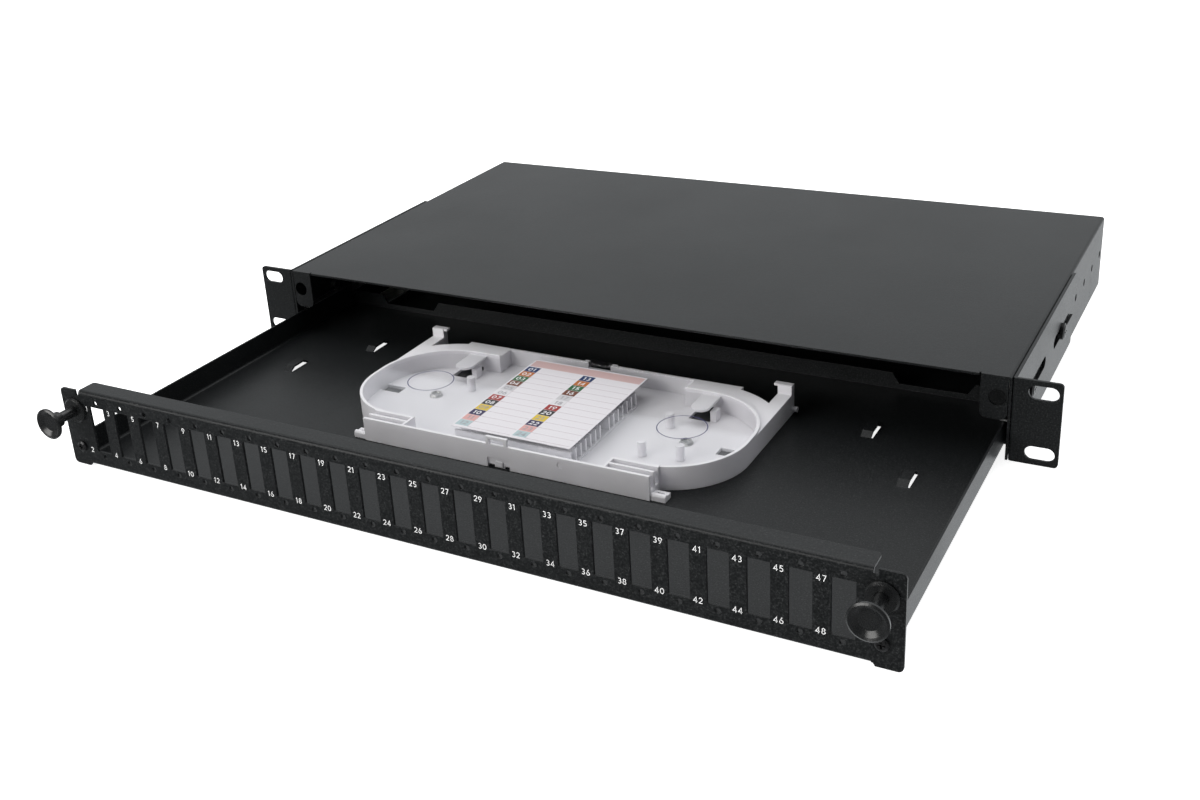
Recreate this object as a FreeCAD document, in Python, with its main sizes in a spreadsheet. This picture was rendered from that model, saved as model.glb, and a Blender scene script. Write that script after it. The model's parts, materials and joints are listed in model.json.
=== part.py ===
import FreeCAD, Part
import os, math
import Sketcher

# Sliding fibre termination box, one rack unit high, for a 19 inch rack.
# Frame: +X to the right of someone facing the front, +Y to the rear, +Z up.
# Origin: centre of the four rack slots, on the front face of the rack ears.
# The drawer is modelled pulled out against its stops, the two latch plungers
# pulled out, and the lid of the splice tray shut.
# All lengths are in millimetres.

os.makedirs("parts", exist_ok=True)
App = FreeCAD
V = App.Vector
doc = App.newDocument("fiber_termination_box")

# ---------------------------------------------------------------- the sheet
DIMS = [
    # housing
    ("house_wide", 436.0, "outer width of the housing"),
    ("house_deep", 254.5, "depth of the housing"),
    ("house_top", 21.8, "height of the housing's top face above the origin"),
    ("house_low", 22.0, "depth of the housing's bottom face below the origin"),
    ("cover_thk", 1.2, "sheet of the housing cover"),
    ("base_thk", 1.0, "sheet of the housing base"),
    ("base_front", 16.0, "where the base plate starts"),
    ("base_flange", 9.0, "height of the base plate's side flanges"),
    ("tab_in", 203.3, "inner edge of a lock tab"),
    ("tab_out", 216.4, "outer edge of a lock tab"),
    ("tab_low", 1.2, "lock tab's lower end, below the origin"),
    ("latch_x", 211.6, "latch axis"),
    ("latch_z", 10.4, "latch axis height"),
    ("tab_hole", 4.3, "radius of the lock tab's hole"),
    ("side_pitch", 26.0, "pitch of the row of holes in the housing sides"),
    ("side_first", 12.5, "first hole of the row"),
    ("side_hole", 2.2, "radius of the row's holes"),
    ("side_count", 10, "number of holes in the row"),
    ("entry_x", 180.0, "cable gland axis"),
    ("plug_x", 146.0, "blanking plug axis"),
    ("entry_hole", 10.2, "radius of the cable entry holes"),
    # rack ears
    ("ear_thk", 1.5, "sheet of the rack ears"),
    ("ear_edge", 241.3, "outer edge of an ear, half of 482.6"),
    ("ear_half", 22.0, "half height of an ear"),
    ("ear_in", 218.2, "inner face of an ear's side flange"),
    ("ear_deep", 151.0, "length of an ear's side flange"),
    ("slot_x", 232.55, "rack slot centre, half of 465.1"),
    ("slot_z", 15.875, "rack slot centre, half of 31.75"),
    ("slot_long", 14.0, "rack slot length"),
    ("slot_high", 7.2, "rack slot height"),
    ("side_slot", 6.5, "height of the slots in an ear's side flange"),
    ("slot_a", 20.0, "start of the closed side slot"),
    ("slot_b", 75.0, "end of the closed side slot"),
    ("slot_c", 96.0, "start of the open side slot"),
    # drawer
    ("tray_wide", 429.2, "outer width of the drawer tray"),
    ("tray_thk", 1.0, "sheet of the drawer tray"),
    ("floor_low", 19.5, "underside of the drawer floor, below the origin"),
    ("wall_top", 4.9, "upper edge of the drawer walls, below the origin"),
    ("front_y", 183.5, "front face of the drawer panel, ahead of the ears"),
    ("tray_rear", 53.1, "rear face of the drawer tray when pulled out"),
    ("rear_top", 9.5, "upper edge of the drawer's rear wall, below the origin"),
    ("panel_thk", 1.2, "sheet of the front panel"),
    ("panel_half", 220.5, "half width of the front panel"),
    ("panel_top", 21.8, "upper edge of the front panel"),
    ("panel_low", 20.7, "underside of the panel's lower lip"),
    ("tab_foot", 21.6, "lower edge of the panel's end tabs"),
    ("lip_half", 207.8, "half length of the panel's lips"),
    ("lip_top", 11.2, "depth of the upper lip"),
    ("lip_low", 9.6, "depth of the lower lip"),
    ("notch_out", 209.8, "outer edge of the notch beside the upper lip"),
    ("notch_low", 18.8, "bottom of that notch"),
    ("win_pitch", 17.1, "pitch of the adapter windows"),
    ("win_count", 24, "number of adapter windows"),
    ("win_wide", 9.7, "width of a window"),
    ("win_high", 25.8, "height of a window"),
    ("win_z", 1.0, "height of the windows' centre"),
    ("win_screw", 30.8, "spacing of the two screw holes of a window"),
    ("win_hole", 1.3, "radius of those holes"),
    ("end_screw_x", 212.0, "end screw axis"),
    ("end_screw_z", 10.5, "end screw axis, below the origin"),
    ("bridge_long", 15.6, "length of a lanced cable-tie bridge"),
    ("bridge_wide", 5.6, "width of a bridge"),
    ("bridge_rise", 2.3, "rise of a bridge above the floor"),
    ("bridge_slit", 0.6, "open slit beside a bridge"),
    # splice tray
    ("cass_x", 3.5, "the splice tray's middle, left of the origin"),
    ("cass_half", 111.8, "half width of the splice tray"),
    ("cass_front", 98.4, "front of the tray's end wells"),
    ("bar_front", 108.4, "front face of the tray's front bar"),
    ("bar_half", 82.4, "half length of the front bar"),
    ("cass_rear", 1.6, "rear face of the tray"),
    ("cass_low", 18.5, "underside of the tray, below the origin"),
    ("cass_floor", 1.7, "thickness of the tray's floor"),
    ("cass_top", 6.0, "top of the rim, below the origin"),
    ("cass_ledge", 7.2, "top of the ledges, below the origin"),
    ("cass_wall", 1.6, "thickness of the tray's walls"),
    ("mid_half", 57.5, "half width of the tray's middle bay"),
    ("stud_x", 75.6, "tray stud from the tray's middle"),
    ("stud_y", 51.5, "tray stud ahead of the ears"),
    ("stud_r", 2.0, "radius of a tray stud"),
    ("lid_thk", 1.0, "thickness of the clear lid"),
    ("pivot_y", 1.55, "lid pivot behind the ear faces"),
    ("pivot_z", 8.6, "lid pivot below the origin"),
    ("pivot_r", 0.75, "radius of the lid's pivot pins"),
    ("pivot_gap", 0.08, "running clearance of those pins"),
    ("label_wide", 69.0, "width of the index card"),
    ("label_long", 88.0, "length of the index card"),
    ("comb_pitch", 5.2, "pitch of the splice comb's ribs"),
    ("comb_rib", 1.4, "thickness of a rib"),
    # latch
    ("stem_r", 2.8, "radius of a plunger stem"),
    ("stem_gap", 0.08, "running clearance of a stem in its grommet"),
    ("barrel_r", 3.9, "radius of a grommet's barrel"),
    ("flange_r", 6.8, "radius of a grommet's flange"),
    ("knob_r", 8.3, "radius of a plunger knob"),
]
sheet = doc.addObject("Spreadsheet::Sheet", "Dims")
for row, (alias, value, note) in enumerate(DIMS, start=1):
    sheet.set("A%d" % row, str(value))
    sheet.set("B%d" % row, note)
    sheet.setAlias("A%d" % row, alias)
doc.recompute()


# A length that knows both its number and the expression that gives it.
class Q:
    def __init__(self, v, t):
        self.v, self.t = float(v), t

    @staticmethod
    def of(o):
        return o if isinstance(o, Q) else Q(o, repr(float(o)))

    def __add__(self, o):
        o = Q.of(o)
        return Q(self.v + o.v, "(%s + %s)" % (self.t, o.t))
    __radd__ = __add__

    def __sub__(self, o):
        o = Q.of(o)
        return Q(self.v - o.v, "(%s - %s)" % (self.t, o.t))

    def __rsub__(self, o):
        return Q.of(o) - self

    def __mul__(self, o):
        o = Q.of(o)
        return Q(self.v * o.v, "(%s * %s)" % (self.t, o.t))
    __rmul__ = __mul__

    def __truediv__(self, o):
        o = Q.of(o)
        return Q(self.v / o.v, "(%s / %s)" % (self.t, o.t))

    def __neg__(self):
        return Q(-self.v, "(0 - %s)" % self.t)


D = {alias: Q(getattr(sheet, alias), "Dims." + alias) for alias, value, note in DIMS}


def num(o):
    return Q.of(o).v


def bind(obj, prop, q):
    """Bind a property to the sheet, or set a plain number."""
    if isinstance(q, Q):
        obj.setExpression(prop, q.t)
    else:
        setattr(obj, prop, q)


# ------------------------------------------------ PartDesign building blocks
def new_body(name):
    b = doc.addObject("PartDesign::Body", name)
    b.Label = name
    return b


def origin_of(b, role):
    for f in b.Origin.OriginFeatures:
        if f.Role == role:
            return f
    raise RuntimeError("no " + role)


def new_sketch(b, role, name, offset=None):
    s = b.newObject("Sketcher::SketchObject", name)
    s.AttachmentSupport = [(origin_of(b, role), "")]
    s.MapMode = "FlatFace"
    if offset is not None:
        s.AttachmentOffset = App.Placement(V(0, 0, num(offset)), App.Rotation())
        if isinstance(offset, Q):
            s.setExpression("AttachmentOffset.Base.z", offset.t)
    return s


def fix(s, kind, geo, pos, q):
    """Fix one coordinate of a sketch point from the sketch origin."""
    q = Q.of(q)
    if abs(q.v) < 1e-9:
        s.addConstraint(Sketcher.Constraint("PointOnObject", geo, pos, -2 if kind == "DistanceX" else -1))
        return
    if q.v > 0:
        i = s.addConstraint(Sketcher.Constraint(kind, -1, 1, geo, pos, q.v))
        t = q.t
    else:
        i = s.addConstraint(Sketcher.Constraint(kind, geo, pos, -1, 1, -q.v))
        t = "(0 - %s)" % q.t
    if "Dims." in t:
        s.setExpression("Constraints[%d]" % i, t)


def polygon(s, pts):
    """Closed outline; every corner is fixed by two driven distances."""
    n = len(pts)
    first = s.GeometryCount
    for k in range(n):
        a, b = pts[k], pts[(k + 1) % n]
        s.addGeometry(Part.LineSegment(V(num(a[0]), num(a[1]), 0), V(num(b[0]), num(b[1]), 0)), False)
    for k in range(n):
        s.addConstraint(Sketcher.Constraint("Coincident", first + k, 2, first + (k + 1) % n, 1))
    for k in range(n):
        fix(s, "DistanceX", first + k, 1, pts[k][0])
        fix(s, "DistanceY", first + k, 1, pts[k][1])


def rect(s, x0, x1, y0, y1):
    polygon(s, [(x0, y0), (x1, y0), (x1, y1), (x0, y1)])


def circle(s, x, y, r):
    g = s.addGeometry(Part.Circle(V(num(x), num(y), 0), V(0, 0, 1), num(r)), False)
    fix(s, "DistanceX", g, 3, x)
    fix(s, "DistanceY", g, 3, y)
    i = s.addConstraint(Sketcher.Constraint("Radius", g, num(r)))
    if isinstance(r, Q):
        s.setExpression("Constraints[%d]" % i, r.t)


def slot(s, x, y, length, high):
    """Obround along the sketch's first axis."""
    cx, cy, L, w = num(x), num(y), num(length), num(high)
    r = w / 2.0
    e = (L - w) / 2.0
    up = s.addGeometry(Part.LineSegment(V(cx - e, cy + r, 0), V(cx + e, cy + r, 0)), False)
    a1 = s.addGeometry(Part.ArcOfCircle(Part.Circle(V(cx + e, cy, 0), V(0, 0, 1), r), -math.pi / 2, math.pi / 2), False)
    dn = s.addGeometry(Part.LineSegment(V(cx + e, cy - r, 0), V(cx - e, cy - r, 0)), False)
    a2 = s.addGeometry(Part.ArcOfCircle(Part.Circle(V(cx - e, cy, 0), V(0, 0, 1), r), math.pi / 2, 3 * math.pi / 2), False)
    for c in (("Tangent", up, 2, a1, 2), ("Tangent", a1, 1, dn, 1), ("Tangent", dn, 2, a2, 2), ("Tangent", a2, 1, up, 1)):
        s.addConstraint(Sketcher.Constraint(*c))
    x, y, L_, w_ = Q.of(x), Q.of(y), Q.of(length), Q.of(high)
    fix(s, "DistanceX", a1, 3, x + (L_ - w_) / 2)
    fix(s, "DistanceY", a1, 3, y)
    fix(s, "DistanceX", a2, 3, x - (L_ - w_) / 2)
    fix(s, "DistanceY", a2, 3, y)
    i = s.addConstraint(Sketcher.Constraint("Radius", a1, r))
    if "Dims." in w_.t:
        s.setExpression("Constraints[%d]" % i, "%s / 2" % w_.t)


def pad(b, s, length, name, reverse=False):
    f = b.newObject("PartDesign::Pad", name)
    f.Profile = s
    bind(f, "Length", length)
    f.Reversed = reverse
    s.Visibility = False
    return f


def volume(b):
    doc.recompute()
    return b.Shape.Volume


def pocket(b, s, name, length=None, reverse=False, both=False):
    """Cut a sketch out of the body, and prove that it removed something."""
    before = volume(b)
    f = b.newObject("PartDesign::Pocket", name)
    f.Profile = s
    if length is None:
        f.Type = "ThroughAll"
    else:
        bind(f, "Length", length)
    f.Reversed = reverse
    f.Midplane = both
    after = volume(b)
    if not after < before - 1e-3:
        raise RuntimeError("%s cut nothing: %.3f to %.3f" % (name, before, after))
    return f


def line_pattern(b, feature, role, length, count, name):
    before = volume(b)
    p = b.newObject("PartDesign::LinearPattern", name)
    p.Originals = [feature]
    p.Direction = (origin_of(b, role), [""])
    bind(p, "Length", length)
    if isinstance(count, Q):
        p.setExpression("Occurrences", count.t)
    else:
        p.Occurrences = count
    b.Tip = p
    after = volume(b)
    if abs(after - before) < 1e-3:
        raise RuntimeError(name + " changed nothing")
    return p


def edges_where(shape, test):
    return ["Edge%d" % (i + 1) for i, e in enumerate(shape.Edges) if test(e)]


def along(e, axis):
    if len(e.Vertexes) != 2 or not isinstance(e.Curve, Part.Line):
        return False
    d = (e.Vertexes[1].Point - e.Vertexes[0].Point).normalize()
    return abs(abs(getattr(d, axis)) - 1) < 1e-6


def at(e, **kw):
    p = e.Vertexes[0].Point
    return all(abs(getattr(p, k) - v) < 1e-3 for k, v in kw.items())


def fillet(b, radius, test, name, want=None):
    doc.recompute()
    prev = b.Tip
    names = edges_where(prev.Shape, test)
    if want is not None and len(names) != want:
        raise RuntimeError("%s: %d edges, wanted %d" % (name, len(names), want))
    f = b.newObject("PartDesign::Fillet", name)
    f.Base = (prev, names)
    f.Radius = radius
    doc.recompute()
    return f


# --------------------------------------------------- Part building blocks
def prim_box(name, x0, x1, y0, y1, z0, z1):
    o = doc.addObject("Part::Box", name)
    x0, x1, y0, y1, z0, z1 = (Q.of(a) for a in (x0, x1, y0, y1, z0, z1))
    o.setExpression("Length", (x1 - x0).t)
    o.setExpression("Width", (y1 - y0).t)
    o.setExpression("Height", (z1 - z0).t)
    o.Placement = App.Placement(V(x0.v, y0.v, z0.v), App.Rotation())
    o.setExpression("Placement.Base.x", x0.t)
    o.setExpression("Placement.Base.y", y0.t)
    o.setExpression("Placement.Base.z", z0.t)
    return o


TURN = {"Z": App.Rotation(), "X": App.Rotation(V(0, 1, 0), 90), "Y": App.Rotation(V(1, 0, 0), -90)}


def prim_cyl(name, axis, x, y, z, r, length):
    """Cylinder from its start point, growing along +axis."""
    o = doc.addObject("Part::Cylinder", name)
    x, y, z = Q.of(x), Q.of(y), Q.of(z)
    bind(o, "Radius", Q.of(r))
    bind(o, "Height", Q.of(length))
    o.Placement = App.Placement(V(x.v, y.v, z.v), TURN[axis])
    o.setExpression("Placement.Base.x", x.t)
    o.setExpression("Placement.Base.y", y.t)
    o.setExpression("Placement.Base.z", z.t)
    return o


def prim_cone(name, axis, x, y, z, r1, r2, length):
    o = doc.addObject("Part::Cone", name)
    x, y, z = Q.of(x), Q.of(y), Q.of(z)
    bind(o, "Radius1", Q.of(r1))
    bind(o, "Radius2", Q.of(r2))
    bind(o, "Height", Q.of(length))
    o.Placement = App.Placement(V(x.v, y.v, z.v), TURN[axis])
    o.setExpression("Placement.Base.x", x.t)
    o.setExpression("Placement.Base.y", y.t)
    o.setExpression("Placement.Base.z", z.t)
    return o


def fuse(name, shapes):
    o = doc.addObject("Part::MultiFuse", name)
    o.Shapes = shapes
    return o


def cut(name, base, tool):
    o = doc.addObject("Part::Cut", name)
    o.Base, o.Tool = base, tool
    return o


def group(name, shapes):
    """Identical fasteners kept as separate solids of one node."""
    o = doc.addObject("Part::Compound", name)
    o.Links = shapes
    return o


def prism(name, axis, x, y, z, across, length, sides=6):
    """Hexagonal prism, given across its flats, growing along +axis."""
    o = doc.addObject("Part::Prism", name)
    x, y, z = Q.of(x), Q.of(y), Q.of(z)
    o.Polygon = sides
    bind(o, "Circumradius", Q.of(across) / (2 * math.cos(math.pi / sides)))
    bind(o, "Height", Q.of(length))
    o.Placement = App.Placement(V(x.v, y.v, z.v), TURN[axis])
    o.setExpression("Placement.Base.x", x.t)
    o.setExpression("Placement.Base.y", y.t)
    o.setExpression("Placement.Base.z", z.t)
    return o


half = D["house_wide"] / 2
inner = half - D["cover_thk"]
top_in = D["house_top"] - D["cover_thk"]
NODES = []


def node(obj):
    obj.Label = obj.Name
    NODES.append(obj)
    return obj


# =============================================================== 1. housing
# Cover: one bent sheet, top and two sides, with a lock tab folded down from
# the top sheet at each front corner.
b = new_body("housing_cover")
s = new_sketch(b, "XZ_Plane", "cover_profile")
polygon(s, [(-half, -D["house_low"]), (-half, D["house_top"]), (half, D["house_top"]), (half, -D["house_low"]),
            (inner, -D["house_low"]), (inner, top_in), (-inner, top_in), (-inner, -D["house_low"])])
pad(b, s, D["house_deep"], "cover_pad", reverse=True)
fillet(b, 1.7, lambda e: along(e, "y") and at(e, z=21.8), "cover_bend_out", 2)
fillet(b, 0.5, lambda e: along(e, "y") and abs(e.Vertexes[0].Point.z - 20.6) < 1e-3, "cover_bend_in", 2)
for side, sg in (("left", -1), ("right", 1)):
    s = new_sketch(b, "XZ_Plane", "lock_tab_" + side)
    rect(s, sg * D["tab_in"], sg * D["tab_out"], -D["tab_low"], top_in + 0.6)
    pad(b, s, D["cover_thk"], "lock_tab_pad_" + side, reverse=True)
doc.recompute()
fillet(b, 3.8, lambda e: along(e, "y") and at(e, z=-1.2) and abs(e.Vertexes[0].Point.y) < 1.3 and
       abs(e.Vertexes[0].Point.x) > 200, "lock_tab_round", 4)
s = new_sketch(b, "XZ_Plane", "lock_tab_holes")
circle(s, -D["latch_x"], D["latch_z"], D["tab_hole"])
circle(s, D["latch_x"], D["latch_z"], D["tab_hole"])
pocket(b, s, "lock_tab_hole_cut", 3.0)
s = new_sketch(b, "XY_Plane", "relief_notches")
for sg in (-1, 1):
    rect(s, sg * (D["tab_in"] - 0.9), sg * D["tab_in"], -0.5, 1.5)
pocket(b, s, "relief_cut", None, reverse=True)
# Row of fixing holes along both sides, for setting the ears back.
s = new_sketch(b, "YZ_Plane", "side_row")
circle(s, D["side_first"], 0, D["side_hole"])
f = pocket(b, s, "side_row_cut", None, both=True)
line_pattern(b, f, "Y_Axis", D["side_pitch"] * (D["side_count"] - 1), D["side_count"], "side_row_pattern")
# Rivet holes for the guide rails and for the base plate.
s = new_sketch(b, "YZ_Plane", "rivet_row")
circle(s, 30, -7.6, 1.55)
circle(s, 30, -17.0, 1.55)
f = pocket(b, s, "rivet_row_cut", None, both=True)
line_pattern(b, f, "Y_Axis", 190, 3, "rivet_row_pattern")
node(b)

# Base: floor, two upturned side flanges and the rear wall with cable entries.
b = new_body("housing_base")
s = new_sketch(b, "XZ_Plane", "base_profile", -D["base_front"])
fo = inner - 0.2
fi = fo - D["base_thk"]
z0 = -D["house_low"]
z1 = z0 + D["base_thk"]
zf = z0 + D["base_flange"]
polygon(s, [(-fo, z0), (fo, z0), (fo, zf), (fi, zf), (fi, z1), (-fi, z1), (-fi, zf), (-fo, zf)])
pad(b, s, D["house_deep"] - D["base_front"], "base_pad", reverse=True)
s = new_sketch(b, "XZ_Plane", "rear_wall", -(D["house_deep"] - D["base_thk"]))
rect(s, -fo, fo, z0, top_in - 0.2)
pad(b, s, D["base_thk"], "rear_wall_pad", reverse=True)
s = new_sketch(b, "XZ_Plane", "cable_entries", -(D["house_deep"] - D["base_thk"] - 1))
for sg in (-1, 1):
    circle(s, sg * D["entry_x"], 0, D["entry_hole"])
    circle(s, sg * D["plug_x"], 0, D["entry_hole"])
pocket(b, s, "cable_entry_cut", 4.0)
s = new_sketch(b, "YZ_Plane", "base_rivet_row")
circle(s, 30, -17.0, 1.55)
f = pocket(b, s, "base_rivet_cut", None, both=True)
line_pattern(b, f, "Y_Axis", 190, 3, "base_rivet_pattern")
node(b)

# Rack ears: L brackets screwed to the outside of the cover.
for side, sg in (("left", -1), ("right", 1)):
    b = new_body("rack_ear_" + side)
    xi, xo, xe = D["ear_in"], D["ear_in"] + D["ear_thk"], D["ear_edge"]
    s = new_sketch(b, "XZ_Plane", "ear_plate_" + side)
    rect(s, sg * xi, sg * xe, -D["ear_half"], D["ear_half"])
    pad(b, s, D["ear_thk"], "ear_plate_pad_" + side, reverse=True)
    s = new_sketch(b, "YZ_Plane", "ear_flange_" + side, sg * xi)
    rect(s, 0.0, D["ear_deep"], -D["ear_half"] + 1.6, D["ear_half"] - 0.5)
    pad(b, s, D["ear_thk"], "ear_flange_pad_" + side, reverse=(sg < 0))
    fillet(b, 2.0, lambda e: along(e, "y") and abs(abs(e.Vertexes[0].Point.x) - 241.3) < 1e-3, "ear_round_" + side, 2)
    fillet(b, 1.4, lambda e: along(e, "z") and abs(abs(e.Vertexes[0].Point.x) - 218.2) < 1e-3 and
           abs(e.Vertexes[0].Point.y) < 1e-3, "ear_bend_" + side, 1)
    s = new_sketch(b, "XZ_Plane", "rack_slots_" + side)
    for u in (-1, 1):
        slot(s, sg * D["slot_x"], u * D["slot_z"], D["slot_long"], D["slot_high"])
    pocket(b, s, "rack_slot_cut_" + side, 3.0)
    s = new_sketch(b, "YZ_Plane", "side_slots_" + side, sg * (xi - 1))
    slot(s, (D["slot_a"] + D["slot_b"]) / 2, 0, D["slot_b"] - D["slot_a"], D["side_slot"])
    slot(s, (D["slot_c"] + D["ear_deep"] + 20) / 2, 0, D["ear_deep"] + 20 - D["slot_c"], D["side_slot"])
    pocket(b, s, "side_slot_cut_" + side, 6.0, reverse=(sg > 0))
    node(b)

# Ear screws and their clinch nuts inside the cover.
screws, nuts = [], []
for k, (sg, hole) in enumerate(((-1, 1), (-1, 4), (1, 1), (1, 4))):
    y = D["side_first"] + D["side_pitch"] * hole
    out = D["ear_in"] + D["ear_thk"]
    if sg > 0:
        head = prim_cyl("ear_head%d" % k, "X", out, y, 0, 4.6, 1.6)
        crown = prim_cone("ear_crown%d" % k, "X", out + 1.6, y, 0, 4.6, 3.2, 0.8)
        shank = prim_cyl("ear_shank%d" % k, "X", inner - 2.6, y, 0, 2.0, out - inner + 2.8)
        r1 = prim_box("ear_cross_a%d" % k, out + 1.3, out + 3.0, y - 2.2, y + 2.2, -0.45, 0.45)
        r2 = prim_box("ear_cross_b%d" % k, out + 1.3, out + 3.0, y - 0.45, y + 0.45, -2.2, 2.2)
        nb = prim_cyl("ear_nut_body%d" % k, "X", inner - 2.0, y, 0, 3.1, 2.0)
        nh = prim_cyl("ear_nut_bore%d" % k, "X", inner - 3.0, y, 0, 2.05, 4.0)
    else:
        head = prim_cyl("ear_head%d" % k, "X", -out - 1.6, y, 0, 4.6, 1.6)
        crown = prim_cone("ear_crown%d" % k, "X", -out - 2.4, y, 0, 3.2, 4.6, 0.8)
        shank = prim_cyl("ear_shank%d" % k, "X", -out - 0.2, y, 0, 2.0, out - inner + 2.8)
        r1 = prim_box("ear_cross_a%d" % k, -out - 3.0, -out - 1.3, y - 2.2, y + 2.2, -0.45, 0.45)
        r2 = prim_box("ear_cross_b%d" % k, -out - 3.0, -out - 1.3, y - 0.45, y + 0.45, -2.2, 2.2)
        nb = prim_cyl("ear_nut_body%d" % k, "X", -inner, y, 0, 3.1, 2.0)
        nh = prim_cyl("ear_nut_bore%d" % k, "X", -inner - 1.0, y, 0, 2.05, 4.0)
    screws.append(cut("ear_screw%d" % k, fuse("ear_screw_solid%d" % k, [head, crown, shank]),
                      fuse("ear_cross%d" % k, [r1, r2])))
    nuts.append(cut("ear_nut%d" % k, nb, nh))
node(group("ear_screws", screws))
node(group("ear_nuts", nuts))

# Guide rails: angle strips that hold the drawer walls down, each with a stop
# finger that the drawer's rear wall meets when it is fully out.
for side, sg in (("left", -1), ("right", 1)):
    b = new_body("guide_rail_" + side)
    zr = -D["wall_top"] + 0.5
    s = new_sketch(b, "XZ_Plane", "rail_profile_" + side, -6.0)
    polygon(s, [(sg * inner, zr + 0.8), (sg * (inner - 4.6), zr + 0.8), (sg * (inner - 4.6), zr),
                (sg * (inner - 0.8), zr), (sg * (inner - 0.8), -11.6), (sg * inner, -11.6)])
    pad(b, s, 240.0, "rail_pad_" + side, reverse=True)
    s = new_sketch(b, "XZ_Plane", "rail_stop_" + side, -(D["tray_rear"] - 2.5))
    rect(s, sg * (inner - 4.6), sg * (inner - 3.6), -12.0, zr + 0.4)
    pad(b, s, 1.2, "rail_stop_pad_" + side, reverse=True)
    s = new_sketch(b, "YZ_Plane", "rail_rivet_row_" + side)
    circle(s, 30, -7.6, 1.55)
    f = pocket(b, s, "rail_rivet_cut_" + side, None, reverse=(sg > 0))
    line_pattern(b, f, "Y_Axis", 190, 3, "rail_rivet_pattern_" + side)
    node(b)

# Rivets, flush outside and headed inside.
rv = []
k = 0
for sg in (-1, 1):
    for z, skin in ((-7.6, 0.8), (-17.0, 1.2)):
        for y in (30, 125, 220):
            a = prim_cyl("rivet_pin%d" % k, "X", sg * half if sg < 0 else inner - skin, y, z, 1.5, D["cover_thk"] + skin)
            if sg > 0:
                h = prim_cone("rivet_head%d" % k, "X", inner - skin - 0.7, y, z, 1.8, 2.6, 0.7)
            else:
                h = prim_cone("rivet_head%d" % k, "X", -(inner - skin), y, z, 2.6, 1.8, 0.7)
            rv.append(fuse("rivet%d" % k, [a, h]))
            k += 1
node(group("frame_rivets", rv))

# Nylon strips that the drawer slides on.
for side, sg in (("left", -1), ("right", 1)):
    b = new_body("glide_strip_" + side)
    s = new_sketch(b, "XY_Plane", "glide_" + side, -D["house_low"] + D["base_thk"])
    rect(s, sg * 196.0, sg * 210.0, D["base_front"] + 3, 246.0)
    pad(b, s, 1.2, "glide_pad_" + side)
    fillet(b, 0.6, lambda e: along(e, "x") and abs(e.Vertexes[0].Point.z + 19.8) < 1e-3, "glide_lead_" + side, 2)
    node(b)

# Cable glands and blanking plugs in the rear wall.
wall0 = D["house_deep"] - D["base_thk"]
seals, locks = [], []
for side, sg in (("left", -1), ("right", 1)):
    x = sg * D["entry_x"]
    hexa = prism("gland_hex_" + side, "Y", x, D["house_deep"], 0, 24.0, 4.5)
    barrel = prim_cyl("gland_barrel_" + side, "Y", x, wall0 - 8.0, 0, D["entry_hole"] - 0.1, D["base_thk"] + 8.5)
    spigot = prim_cyl("gland_spigot_" + side, "Y", x, D["house_deep"] + 4.0, 0, 9.2, 7.5)
    bore = prim_cyl("gland_bore_" + side, "Y", x, wall0 - 9.0, 0, 7.2, 30.0)
    node(cut("gland_body_" + side, fuse("gland_solid_" + side, [hexa, barrel, spigot]), bore))
    nut = prism("gland_nut_hex_" + side, "Y", x, D["house_deep"] + 5.0, 0, 24.0, 8.0)
    dome = prim_cone("gland_nut_dome_" + side, "Y", x, D["house_deep"] + 13.0, 0, 11.6, 8.0, 4.2)
    hole1 = prim_cyl("gland_nut_in_" + side, "Y", x, D["house_deep"] + 4.0, 0, 9.4, 8.0)
    hole2 = prim_cyl("gland_nut_out_" + side, "Y", x, D["house_deep"] + 4.0, 0, 6.6, 20.0)
    node(cut("gland_nut_" + side, fuse("gland_nut_solid_" + side, [nut, dome]), fuse("gland_nut_holes_" + side, [hole1, hole2])))
    so = prim_cyl("gland_seal_out_" + side, "Y", x, D["house_deep"] + 2.0, 0, 7.1, 9.4)
    si = prim_cyl("gland_seal_in_" + side, "Y", x, D["house_deep"] + 1.0, 0, 5.0, 12.0)
    seals.append(cut("gland_seal_" + side, so, si))
    lo = prism("gland_lock_hex_" + side, "Y", x, wall0 - 5.0, 0, 25.0, 5.0)
    li = prim_cyl("gland_lock_bore_" + side, "Y", x, wall0 - 6.0, 0, D["entry_hole"] - 0.05, 7.0)
    locks.append(cut("gland_lock_" + side, lo, li))
node(group("gland_seals", seals))
node(group("gland_locknuts", locks))
plugs = []
for side, sg in (("left", -1), ("right", 1)):
    x = sg * D["plug_x"]
    cap = prim_cyl("plug_cap_" + side, "Y", x, D["house_deep"], 0, 12.2, 1.4)
    dome = prim_cone("plug_dome_" + side, "Y", x, D["house_deep"] + 1.4, 0, 12.2, 9.6, 1.2)
    skirt = prim_cyl("plug_skirt_" + side, "Y", x, wall0 - 6.0, 0, D["entry_hole"] - 0.1, D["base_thk"] + 6.2)
    hollow = prim_cyl("plug_hollow_" + side, "Y", x, wall0 - 7.0, 0, 8.4, 8.0)
    plugs.append(cut("plug_" + side, fuse("plug_solid_" + side, [cap, dome, skirt]), hollow))
node(group("blank_plugs", plugs))

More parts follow.
